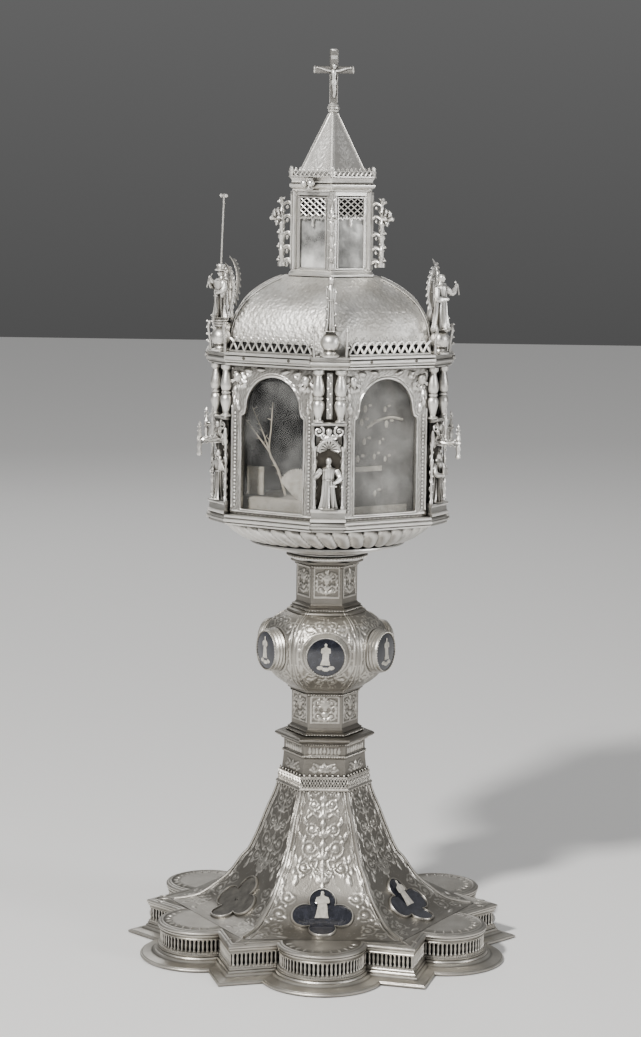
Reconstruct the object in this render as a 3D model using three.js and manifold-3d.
// A tall hexagonal tower ciborium: lobed foot, stem with an enamelled knop, gadrooned bowl, glazed shrine
// with a door, domed roof, glazed lantern, hinged spire and cross.
// Millimetres, +Z up. The front is -Y, and the origin is on the axis under the foot.
// An angle around the axis is counted in degrees from the front towards +X.
import * as THREE from "three";
import { mergeVertices } from "three/addons/utils/BufferGeometryUtils.js";
import Module from "manifold-3d";

const wasm = await Module();
wasm.setup();

// Heights of the joints between stacked pieces
const PLATE_TOP = 3;
const GALLERY_TOP = 25;
const FOOT_PLATE_TOP = 28;
const FOOT_TOP = 132;
const NECK_TOP = 167;
const LOWER_STEM_TOP = 204;
const KNOP_TOP = 266;
const UPPER_STEM_TOP = 306;
const COLLAR_TOP = 312;
const BOWL_TOP = 340;
const FLOOR_TOP = 348;
const WALL_TOP = 464;
const CORNICE_TOP = 474;
const DOME_TOP = 531;
const LANTERN_FLOOR = 537;
const LANTERN_TOP = 604;
const SPIRE_TOP = 663;
const CROSS_TOP = 710;

// Foot plan: six round lobes, and a right-angled point between each pair
const LOBE_CENTRE = 109;
const PLATE_EDGE = { lobe: 48, tip: 156 };
const GALLERY_FACE = { lobe: 32, tip: 138 };
const GALLERY_BACK = { lobe: 30.4, tip: 135.7 };
const FOOT_EDGE = { lobe: 33.5, tip: 140 };
const LOBE_STEPS = 8;
// Corner radius and height up the flare of the foot
const FLARE = [
  [112, 28],
  [99, 32],
  [87, 40],
  [75, 50],
  [65, 64],
  [59, 71],
  [52, 86],
  [45, 104],
  [39, 118],
  [35, FOOT_TOP],
];
const SHEET_IN = 2.6;
const SHEET_DOWN = 1.6;
const NECK_PLATE = 3;

// Rod that clamps the foot, stem and bowl together
const ROD_R = 3;
const ROD_BORE = 4;
const ROD_LOW = 112;
const ROD_HEAD = { r: 9, thickness: 4 };
const BOWL_BOTTOM = 4;
const NUT = { r: 8, thickness: 6 };

// Enamels
const QUATREFOIL = { lobe: 10.5, offset: 13.5, apothem: 78, height: 40, tilt: 45, thickness: 1.6 };
const ENAMEL_LIFT = 0.4;
const ROUNDEL = { r: 15.6, height: 236, back: 44.5, face: 55 };

// Shrine plan: flat corners at CORNER from the axis, and long sides between them
const CORNER = 101;
const CORNER_HALF = 14;
const PANEL_FACE = 87;
const PANEL_BACK = 84;
const PANEL_HALF = 37.8;
const PIER_SIDE = 38.4;
const PIER_BACK = 91.9;
const COLUMN_APART = 8.4;
const LIGHT = { half: 27.5, sill: 353, shoulder: 425, arch: 23.5, crown: 455.7 };
const GLASS = { half: 30, low: 350, high: 459, front: 83.7, back: 82.5 };
const DOOR_FACE = -150;
const DOOR_GAP = 0.4;
const DOOR_PIN = { r: 1.1, along: -35.5, out: 88.9, barrel: 2.2, bore: 1.5 };

// Roof
const DOME = [
  [90, CORNICE_TOP],
  [89.5, 490],
  [87, 498],
  [83, 505],
  [79, 511],
  [66, 521],
  [55, 527],
  [43, DOME_TOP],
];
const BALL = { r: 7.6, out: 98, height: 485 };

// Lantern and its lid
const LID_SEAM = 0.4;
const LID_FACE = 150;
const LID_PIN = { r: 1.1, out: 36.6, half: 8.4, barrel: 2.3, bore: 1.5 };
const CLASP_FACE = -30;
const CLASP_HEIGHT = 601;

const CORNERS = [0, 60, 120, 180, 240, 300];
const FACES = [30, 90, 150, 210, 270, 330];
const radians = (degrees) => (degrees * Math.PI) / 180;

// ---- geometry tools ----

// A closed geometry as a manifold-3d solid, turned to face out
function solidOf(geometry) {
  const bare = geometry.index ? geometry.toNonIndexed() : geometry.clone();
  bare.deleteAttribute("normal");
  bare.deleteAttribute("uv");
  const merged = mergeVertices(bare, 1e-3);
  const triVerts = new Uint32Array(merged.index.array);
  const vertProperties = merged.attributes.position.array;
  const made = new wasm.Manifold(new wasm.Mesh({ numProp: 3, vertProperties, triVerts }));
  if (made.volume() > 0) return made;
  for (let i = 0; i < triVerts.length; i += 3) {
    [triVerts[i + 1], triVerts[i + 2]] = [triVerts[i + 2], triVerts[i + 1]];
  }
  return new wasm.Manifold(new wasm.Mesh({ numProp: 3, vertProperties, triVerts }));
}

function geometryOf(solid) {
  const mesh = solid.getMesh();
  const geometry = new THREE.BufferGeometry();
  geometry.setAttribute("position", new THREE.BufferAttribute(mesh.vertProperties, 3));
  geometry.setIndex(new THREE.BufferAttribute(mesh.triVerts, 1));
  const flat = geometry.toNonIndexed();
  flat.computeVertexNormals();
  return flat;
}

function joined(...pieces) {
  return geometryOf(pieces.map(solidOf).reduce((sum, next) => sum.add(next)));
}

function cut(piece, ...tools) {
  return geometryOf(tools.map(solidOf).reduce((rest, tool) => rest.subtract(tool), solidOf(piece)));
}

function common(a, b) {
  return geometryOf(solidOf(a).intersect(solidOf(b)));
}

// A profile of [radius, height] points turned about +Z with flat sides
function turned(profile, sides, firstCorner = 0) {
  const points = profile.map(([r, z]) => new THREE.Vector2(r, z));
  const geometry = new THREE.LatheGeometry(points, sides, radians(firstCorner));
  return geometry.rotateX(Math.PI / 2);
}

// Six-sided turnings: the foot and stem have a side to the front, the shrine and roof a corner
const footTurned = (profile) => turned(profile, 6, 30);
const shrineTurned = (profile) => turned(profile, 6, 0);

function closed(profile) {
  return [...profile, profile[0]];
}

function prism(shape, low, high, curveSegments = 8) {
  const options = { depth: high - low, bevelEnabled: false, curveSegments };
  return new THREE.ExtrudeGeometry(shape, options).translate(0, 0, low);
}

function outline(points) {
  return new THREE.Shape(points.map(([x, y]) => new THREE.Vector2(x, y)));
}

// A box from its low and high corners
function block([x0, y0, z0], [x1, y1, z1]) {
  const box = new THREE.BoxGeometry(x1 - x0, y1 - y0, z1 - z0);
  return box.translate((x0 + x1) / 2, (y0 + y1) / 2, (z0 + z1) / 2);
}

// A round bar along +X, +Y or +Z, centred on a point
function bar(axis, r, length, [x, y, z], sides = 12) {
  const cylinder = new THREE.CylinderGeometry(r, r, length, sides);
  if (axis === "x") cylinder.rotateZ(-Math.PI / 2);
  if (axis === "z") cylinder.rotateX(Math.PI / 2);
  return cylinder.translate(x, y, z);
}

function ball(r, [x, y, z], around = 8, up = 6) {
  return new THREE.SphereGeometry(r, around, up).rotateX(Math.PI / 2).translate(x, y, z);
}

// Turns a piece made with +X outwards and +Y along the side to an angle around the axis
function facing(angle, geometry) {
  return geometry.rotateZ(radians(angle - 90));
}

// A shape drawn in a side's own plane, across and up, given a front and a back distance from the axis
function panel(shape, back, front, curveSegments = 8) {
  const across = new THREE.Vector3(0, 1, 0);
  const up = new THREE.Vector3(0, 0, 1);
  const out = new THREE.Vector3(1, 0, 0);
  const stand = new THREE.Matrix4().makeBasis(across, up, out);
  return prism(shape, back, front, curveSegments).applyMatrix4(stand);
}

function rectangle(half, low, high) {
  return outline([
    [-half, low],
    [half, low],
    [half, high],
    [-half, high],
  ]);
}

// ---- foot ----

// The plan of lobes and points. Each side of a point runs at 45 degrees to its own radius
// and stops where it meets the circle of the next lobe.
function footPlan({ lobe, tip }) {
  const centreAlong = LOBE_CENTRE * Math.cos(radians(30));
  const centreAcross = LOBE_CENTRE * Math.sin(radians(30));
  const nearest = (tip - centreAlong + centreAcross) / 2;
  const miss = (centreAlong + centreAcross - tip) / Math.SQRT2;
  const run = nearest - Math.sqrt(lobe * lobe - miss * miss) / Math.SQRT2;
  const shape = [];
  for (const angle of CORNERS) {
    const middle = radians(angle - 90);
    const centre = [LOBE_CENTRE * Math.cos(middle), LOBE_CENTRE * Math.sin(middle)];
    const along = tip - run;
    const local = [along * Math.cos(radians(30)) + run * 0.5, along * 0.5 - run * Math.cos(radians(30))];
    const half = Math.atan2(local[1], local[0] - LOBE_CENTRE);
    for (let step = 0; step <= LOBE_STEPS; step += 1) {
      const turn = middle + half * ((2 * step) / LOBE_STEPS - 1);
      shape.push([centre[0] + lobe * Math.cos(turn), centre[1] + lobe * Math.sin(turn)]);
    }
    const point = middle + radians(30);
    shape.push([tip * Math.cos(point), tip * Math.sin(point)]);
  }
  return outline(shape);
}

function withHole(shape, hole) {
  shape.holes.push(new THREE.Path(hole.getPoints()));
  return shape;
}

// The sole plate closes the foot underneath
const basePlate = () => prism(footPlan(PLATE_EDGE), 0, PLATE_TOP);

const galleryWall = () =>
  prism(withHole(footPlan(GALLERY_FACE), footPlan(GALLERY_BACK)), PLATE_TOP, GALLERY_TOP);

function footShell() {
  const flare = footTurned([[0, GALLERY_TOP], [FLARE[0][0], GALLERY_TOP], ...FLARE, [0, FOOT_TOP]]);
  const inner = FLARE.slice(0, -1).map(([r, z]) => [r - SHEET_IN, z - SHEET_DOWN]);
  const neck = [35 - SHEET_IN, FOOT_TOP - NECK_PLATE];
  const hollow = footTurned([[0, 20], [inner[0][0], 20], ...inner, neck, [0, neck[1]]]);
  const bore = bar("z", ROD_BORE, 20, [0, 0, FOOT_TOP]);
  return cut(joined(prism(footPlan(FOOT_EDGE), GALLERY_TOP, FOOT_PLATE_TOP), flare), hollow, bore);
}

// A quatrefoil tile that follows the flare, a little above it
function quatrefoil() {
  const { lobe, offset, apothem, height, tilt, thickness } = QUATREFOIL;
  const discs = [0, 90, 180, 270].map((turn) => {
    const x = offset * Math.cos(radians(turn));
    const y = offset * Math.sin(radians(turn));
    return bar("z", lobe, 60, [x, y, 0], 14);
  });
  const middle = block([-offset, -offset, -30], [offset, offset, 30]).rotateZ(Math.PI / 4).scale(0.7, 0.7, 1);
  const cutter = joined(...discs, middle).rotateY(radians(tilt)).translate(apothem, 0, height);
  const low = FOOT_PLATE_TOP + ENAMEL_LIFT;
  const over = (lift) => {
    const risen = FLARE.map(([r, z]) => [r + lift * 0.8, z + lift * 0.8]).filter(([, z]) => z > low);
    return shrineTurned([[0, low], [FLARE[0][0] + lift, low], ...risen, [0, FOOT_TOP + lift]]);
  };
  const skin = cut(over(ENAMEL_LIFT + thickness), over(ENAMEL_LIFT));
  return common(skin, cutter);
}

const crestBand = () =>
  footTurned(
    closed([
      [37.8, 125],
      [39.2, 125],
      [39.2, 127],
      [38.4, 128],
      [37.6, 136],
      [36.6, 136],
    ]),
  );

// ---- stem ----

// A six-sided hollow piece: the outer profile, an inner wall at one radius, and a bore through both ends
function hollowStem(profile, inner, end) {
  const low = profile[0][1];
  const high = profile[profile.length - 1][1];
  const inside = [
    [ROD_BORE, high],
    [ROD_BORE, high - end],
    [inner, high - end],
    [inner, low + end],
    [ROD_BORE, low + end],
    [ROD_BORE, low],
  ];
  return footTurned(closed([...profile, ...inside]));
}

const footNeck = () =>
  hollowStem(
    [
      [35, FOOT_TOP],
      [34, 137],
      [31.5, 144],
      [34.5, 148],
      [34.5, 151],
      [32, 153],
      [32, 160],
      [39, 163.5],
      [39, NECK_TOP],
    ],
    27,
    2.5,
  );

const lowerStem = () =>
  hollowStem(
    [
      [31, NECK_TOP],
      [31, 169],
      [26.6, 172.5],
      [26.6, 199],
      [30, 202],
      [30, LOWER_STEM_TOP],
    ],
    22.5,
    2.5,
  );

const upperStem = () =>
  hollowStem(
    [
      [29, KNOP_TOP],
      [29, 271],
      [24.3, 275],
      [24.3, 300],
      [29, 303],
      [29, UPPER_STEM_TOP],
    ],
    20.5,
    2.5,
  );

function knop() {
  const outer = [
    [30, LOWER_STEM_TOP],
    [37, 209],
    [44, 217],
    [49.5, 227],
    [51, 236],
    [49.5, 245],
    [43, 256],
    [36, 263],
    [29, KNOP_TOP],
  ];
  const inner = outer.slice(1, -1).map(([r, z]) => [r - 3, 235.5 + (z - 235.5) * 0.9]);
  const ends = [
    [ROD_BORE, KNOP_TOP],
    [ROD_BORE, inner[inner.length - 1][1]],
    ...inner.reverse(),
    [ROD_BORE, inner[inner.length - 1][1]],
    [ROD_BORE, LOWER_STEM_TOP],
  ];
  return footTurned(closed([...outer, ...ends]));
}

// A round enamel on its stepped collar, facing +X
function roundel() {
  const { r, height, back, face } = ROUNDEL;
  const steps = [
    [0, 0],
    [r, 0],
    [r, face - back - 1],
    [r - 1.5, face - back],
    [0, face - back],
  ];
  return turned(steps, 16).rotateY(Math.PI / 2).translate(back, 0, height);
}

const bowlCollar = () =>
  turned(
    closed([
      [ROD_BORE, UPPER_STEM_TOP],
      [28, UPPER_STEM_TOP],
      [31.5, 308],
      [31.5, 310],
      [29, COLLAR_TOP],
      [ROD_BORE, COLLAR_TOP],
    ]),
    18,
  );

function gadroonedBowl() {
  const inside = COLLAR_TOP + BOWL_BOTTOM;
  const profile = [
    [ROD_BORE, COLLAR_TOP],
    [30, COLLAR_TOP],
    [48, 317],
    [62, 321],
    [74, 328],
    [84, BOWL_TOP],
    [81, BOWL_TOP],
    [71, 330.5],
    [59.5, 324],
    [46, 320],
    [28, inside],
    [ROD_BORE, inside],
  ];
  return turned(closed(profile), 24);
}

function tieRod() {
  const seat = COLLAR_TOP + BOWL_BOTTOM;
  const head = [
    [0, ROD_LOW],
    [ROD_R, ROD_LOW],
    [ROD_R, seat],
    [ROD_HEAD.r, seat],
    [ROD_HEAD.r, seat + ROD_HEAD.thickness],
    [0, seat + ROD_HEAD.thickness],
  ];
  return turned(head, 12);
}

function tieRodNut() {
  const high = FOOT_TOP - NECK_PLATE;
  const low = high - NUT.thickness;
  const bore = ROD_R + 0.8;
  return turned(closed([[bore, low], [NUT.r, low], [NUT.r, high], [bore, high]]), 6);
}

// ---- shrine ----

// Corners of the shrine plan: a flat of a given half width across each corner
function shrinePlan(distance, half) {
  const points = [];
  for (const angle of CORNERS) {
    const out = new THREE.Vector2(distance, -half).rotateAround(new THREE.Vector2(), radians(angle - 90));
    const next = new THREE.Vector2(distance, half).rotateAround(new THREE.Vector2(), radians(angle - 90));
    points.push(out, next);
  }
  return new THREE.Shape(points);
}

const shrineFloor = () =>
  joined(
    prism(shrinePlan(CORNER - 3, CORNER_HALF - 1), BOWL_TOP, BOWL_TOP + 2.5),
    prism(shrinePlan(CORNER, CORNER_HALF), BOWL_TOP + 2.4, FLOOR_TOP - 2),
    prism(shrinePlan(CORNER - 1.5, CORNER_HALF - 0.5), FLOOR_TOP - 2.1, FLOOR_TOP),
  );

function cornice() {
  const hole = shrineTurned([[0, WALL_TOP - 5], [93, WALL_TOP - 5], [93, CORNICE_TOP + 5], [0, CORNICE_TOP + 5]]);
  const body = joined(
    prism(shrinePlan(CORNER, CORNER_HALF), WALL_TOP, WALL_TOP + 4),
    prism(shrinePlan(CORNER + 2, CORNER_HALF + 0.8), WALL_TOP + 3.9, WALL_TOP + 8),
    prism(shrinePlan(CORNER, CORNER_HALF), WALL_TOP + 7.9, CORNICE_TOP),
  );
  const crests = FACES.map((angle) => facing(angle, block([90.4, -36, CORNICE_TOP - 1], [91.6, 36, 484])));
  return joined(cut(body, hole), ...crests);
}

// The pier's plan between the wall panels, cut off at a distance from the axis
function wedge(distance, low, high) {
  const halfAt = (d) => (d / 2 - PIER_SIDE) / Math.cos(radians(30));
  const plan = outline([
    [PIER_BACK, -halfAt(PIER_BACK)],
    [distance, -halfAt(distance)],
    [distance, halfAt(distance)],
    [PIER_BACK, halfAt(PIER_BACK)],
  ]);
  return prism(plan, low, high);
}

// A standing robed figure as a turning, with its feet at a height
function robed(x, y, feet, tall, wide) {
  const profile = [
    [0, 0],
    [0.5, 0],
    [0.42, 0.3],
    [0.36, 0.55],
    [0.5, 0.76],
    [0.16, 0.84],
    [0.27, 0.93],
    [0, 1],
  ];
  return turned(profile.map(([r, z]) => [r * wide, feet + z * tall]), 6).translate(x, y, 0);
}

function column(y) {
  const profile = [
    [0, 424],
    [3.5, 424],
    [3.5, 427],
    [2.2, 429],
    [3.4, 437],
    [1.8, 443],
    [3.4, 450],
    [2.2, 459],
    [3.5, 461],
    [3.5, WALL_TOP],
    [0, WALL_TOP],
  ];
  return turned(profile, 6).translate(97, y, 0);
}

// Base, niche with a robed figure, canopy and pair of columns, facing +X; all but the front one have a spur
function cornerPier(withSpur) {
  const spur = [
    block([94, -1.6, 404], [119, 1.6, 407.5]),
    turned([[0, 394], [2.2, 397], [2.2, 409], [0, 419]], 6).translate(116, 0, 0),
  ];
  return joined(
    wedge(CORNER, FLOOR_TOP, 358),
    wedge(93.5, FLOOR_TOP, WALL_TOP),
    wedge(CORNER - 1, 407, 425),
    robed(98, 0, 357.5, 40, 11),
    column(-COLUMN_APART),
    column(COLUMN_APART),
    cut(wedge(CORNER - 1.5, 357, 408), block([93.4, -8, 350], [110, 8, 420])),
    ...(withSpur ? spur : []),
  );
}

function lightShape() {
  const { half, sill, shoulder, arch, crown } = LIGHT;
  const spring = crown - arch;
  const path = new THREE.Shape();
  path.moveTo(-half, sill);
  path.lineTo(half, sill);
  path.lineTo(half, shoulder);
  path.lineTo(arch, spring - 1);
  path.absarc(0, spring, arch, 0, Math.PI, false);
  path.lineTo(-half, shoulder);
  return path;
}

function windowFrame(low = FLOOR_TOP, high = WALL_TOP) {
  const plate = panel(rectangle(PANEL_HALF, low, high), PANEL_BACK, PANEL_FACE);
  return cut(plate, panel(lightShape(), PANEL_BACK - 5, PANEL_FACE + 5, 10));
}

const windowGlass = () => panel(rectangle(GLASS.half, GLASS.low, GLASS.high), GLASS.back, GLASS.front);

// The door is a window frame with two hinge barrels and a pull
function doorFrame() {
  const { along, out, barrel, bore } = DOOR_PIN;
  const at = (height) => [out, along, height];
  const barrels = [375, 437].map((height) => bar("z", barrel, 18, at(height), 10));
  const pull = joined(bar("x", 1.4, 5, [89, 33, 405], 8), ball(2.6, [92, 33, 405], 8, 6));
  const whole = joined(windowFrame(FLOOR_TOP + DOOR_GAP, WALL_TOP - DOOR_GAP), ...barrels, pull);
  return cut(whole, bar("z", bore, 200, at(406), 12));
}

const doorHingePin = () =>
  bar("z", DOOR_PIN.r, WALL_TOP - FLOOR_TOP, [DOOR_PIN.out, DOOR_PIN.along, (WALL_TOP + FLOOR_TOP) / 2]);

const relicPlinth = () => shrineTurned([[0, FLOOR_TOP], [60, FLOOR_TOP], [60, 354], [58, 356], [0, 356]]);

// ---- roof ----

function dome() {
  const inner = DOME.map(([r, z]) => [r - 2.5, z - 2.4]).reverse();
  const base = [DOME[0][0] - 2.5, CORNICE_TOP];
  const under = [...inner.slice(0, -1), base];
  return shrineTurned([[0, DOME_TOP - 2.4], ...under, ...DOME, [0, DOME_TOP]]);
}

// A ball on a cap with a winged figure on it, facing +X
function roofFigure(withStaff) {
  const { r, out, height } = BALL;
  const cap = turned([[0, CORNICE_TOP], [6, CORNICE_TOP], [6, 476.5], [3, 479], [0, 479]], 8).translate(out, 0, 0);
  const wing = (side) => {
    const shape = outline([
      [side * 1, 505],
      [side * 12, 512],
      [side * 13, 532],
      [side * 7, 547],
      [side * 1, 530],
    ]);
    return panel(shape, out - 4.5, out - 3);
  };
  const pieces = [cap, ball(r, [out, 0, height]), robed(out, 0, 491.5, 45, 13), wing(1), wing(-1)];
  if (withStaff) {
    const lean = radians(2.4);
    const staff = bar("z", 0.9, 93, [0, 0, 46.5], 6).rotateY(-lean).rotateX(-lean).translate(out + 4, -1, 501);
    const tee = bar("y", 1.1, 10, [out + 0.2, 3, 594], 6);
    pieces.push(staff, tee);
  }
  return joined(...pieces);
}

// ---- lantern and lid ----

function buttress() {
  return joined(
    block([32.4, -2.5, LANTERN_FLOOR - 1], [36.4, 2.5, 599]),
    block([44.2, -1.2, 540], [46.6, 1.2, 592]),
    block([35, -1, 541], [45, 1, 543]),
    block([35, -1, 560], [45, 1, 562]),
    block([35, -1, 575.5], [55, 1, 578]),
    block([35, -1, 586], [45, 1, 588]),
  );
}

function lanternFrame() {
  const floor = shrineTurned([
    [0, DOME_TOP],
    [37, DOME_TOP],
    [38.5, 533],
    [37.5, 535],
    [36, LANTERN_FLOOR],
    [0, LANTERN_FLOOR],
  ]);
  const top = [
    [30.5, 598],
    [36, 598],
    [37.5, 600],
    [39, 602],
    [39, LANTERN_TOP],
    [30.5, LANTERN_TOP],
  ];
  const band = (low, high) => shrineTurned(closed([[32.4, low], [34.4, low], [34.4, high], [32.4, high]]));
  const { out, half, bore } = LID_PIN;
  const ear = (y) => block([33, y - 1.4, 601.6], [out + 2.4, y + 1.4, 606.4]);
  const ears = [-6.8, 6.8].map((y) => cut(ear(y), bar("y", bore, 2 * half, [out, 0, LANTERN_TOP])));
  return joined(
    floor,
    shrineTurned(closed(top)),
    band(LANTERN_FLOOR - 0.5, 541),
    band(588, 598.5),
    ...CORNERS.map((angle) => facing(angle, buttress())),
    ...ears.map((piece) => facing(LID_FACE, piece)),
  );
}

const lanternGlass = () =>
  shrineTurned(closed([[30.4, LANTERN_FLOOR], [31.8, LANTERN_FLOOR], [31.8, 597.7], [30.4, 597.7]]));

function lanternLid() {
  const low = LANTERN_TOP + LID_SEAM;
  const spire = shrineTurned([
    [0, 652],
    [26.5, 612],
    [33, 608.5],
    [33, low],
    [36, low],
    [37.5, 609],
    [38.6, 617],
    [37.4, 617],
    [36.2, 610.5],
    [34, 611],
    [29, 615],
    [3.6, 660],
    [3.6, SPIRE_TOP],
    [0, SPIRE_TOP],
  ]);
  const { out, barrel, bore } = LID_PIN;
  const leaf = block([30, -4, low], [out, 4, low + 1.6]);
  const knuckle = bar("y", barrel, 9, [out, 0, LANTERN_TOP]);
  const hinge = cut(joined(leaf, knuckle), bar("y", bore, 30, [out, 0, LANTERN_TOP]));
  const inside = block([26, -6, low - 1], [28.8, 6, low + 5]);
  return joined(spire, facing(LID_FACE, cut(hinge, inside)));
}

const lidHingePin = () => bar("y", LID_PIN.r, 2 * LID_PIN.half, [LID_PIN.out, 0, LANTERN_TOP]);

function lidClasp() {
  const height = CLASP_HEIGHT;
  return joined(
    bar("x", 1.6, 2, [35.1, 0, height], 8),
    block([35.6, -3, height - 3], [37.2, 3, height + 8]),
    ball(2.9, [39, -3, height + 3.5], 8, 6),
    ball(2.9, [39, 3, height + 3.5], 8, 6),
  );
}

function cross() {
  const cap = shrineTurned([[0, SPIRE_TOP], [5, SPIRE_TOP], [5, 665], [2.5, 668], [0, 668]]);
  return joined(
    cap,
    block([-3.45, -1.3, 666], [3.45, 1.3, CROSS_TOP]),
    block([-15.7, -1.3, 691], [15.7, 1.3, 697]),
    block([-12, -2.9, 692.6], [12, -1.2, 694.4]),
    block([-2.1, -3.4, 674], [2.1, -1.2, 694]),
    ball(2.3, [0, -3, 696], 8, 6),
  );
}

// ---- the object ----

const SILVER = new THREE.MeshStandardMaterial({ color: 0xcfc9bc, roughness: 0.32, metalness: 1 });
const GILT = new THREE.MeshStandardMaterial({ color: 0xb8ab90, roughness: 0.38, metalness: 1 });
const ENAMEL = new THREE.MeshStandardMaterial({ color: 0x23252c, roughness: 0.2, metalness: 0 });
const IRON = new THREE.MeshStandardMaterial({ color: 0x6b6660, roughness: 0.6, metalness: 1 });
const PLINTH = new THREE.MeshStandardMaterial({ color: 0xa89f8c, roughness: 0.9, metalness: 0 });
const CLEAR = new THREE.MeshStandardMaterial({
  color: 0xdfe3e0,
  roughness: 0.08,
  metalness: 0,
  transparent: true,
  opacity: 0.3,
});

const ciborium = new THREE.Group();

function add(name, geometry, material, angle) {
  const mesh = new THREE.Mesh(geometry, material);
  mesh.name = name;
  if (angle !== undefined) mesh.rotation.z = radians(angle - 90);
  ciborium.add(mesh);
}

add("base_plate", basePlate(), GILT);
add("gallery_wall", galleryWall(), GILT);
add("foot_shell", footShell(), GILT);
add("foot_crest_band", crestBand(), GILT);
add("foot_neck", footNeck(), GILT);
CORNERS.forEach((angle, i) => add(`foot_enamel_${i + 1}`, quatrefoil(), ENAMEL, angle));
add("lower_stem", lowerStem(), GILT);
add("knop", knop(), GILT);
CORNERS.forEach((angle, i) => add(`knop_enamel_${i + 1}`, roundel(), ENAMEL, angle));
add("upper_stem", upperStem(), GILT);
add("bowl_collar", bowlCollar(), GILT);
add("gadrooned_bowl", gadroonedBowl(), SILVER);
add("stem_tie_rod", tieRod(), IRON);
add("tie_rod_nut", tieRodNut(), IRON);
add("shrine_floor", shrineFloor(), SILVER);
CORNERS.forEach((angle, i) => add(`corner_pier_${i + 1}`, cornerPier(angle !== 0), SILVER, angle));
const windowAngles = FACES.filter((angle) => angle !== DOOR_FACE + 360);
windowAngles.forEach((angle, i) => {
  add(`window_frame_${i + 1}`, windowFrame(), SILVER, angle);
  add(`window_glass_${i + 1}`, windowGlass(), CLEAR, angle);
});
add("door_frame", doorFrame(), SILVER, DOOR_FACE);
add("door_glass", windowGlass(), CLEAR, DOOR_FACE);
add("door_hinge_pin", doorHingePin(), IRON, DOOR_FACE);
add("relic_plinth", relicPlinth(), PLINTH);
add("cornice", cornice(), SILVER);
add("dome", dome(), SILVER);
CORNERS.forEach((angle, i) => add(`roof_figure_${i + 1}`, roofFigure(angle === 300), SILVER, angle));
add("lantern_frame", lanternFrame(), SILVER);
add("lantern_glass", lanternGlass(), CLEAR);
add("lantern_lid", lanternLid(), SILVER);
add("lid_hinge_pin", lidHingePin(), IRON, LID_FACE);
add("lid_clasp", lidClasp(), SILVER, CLASP_FACE);
add("cross", cross(), SILVER);

export default ciborium;
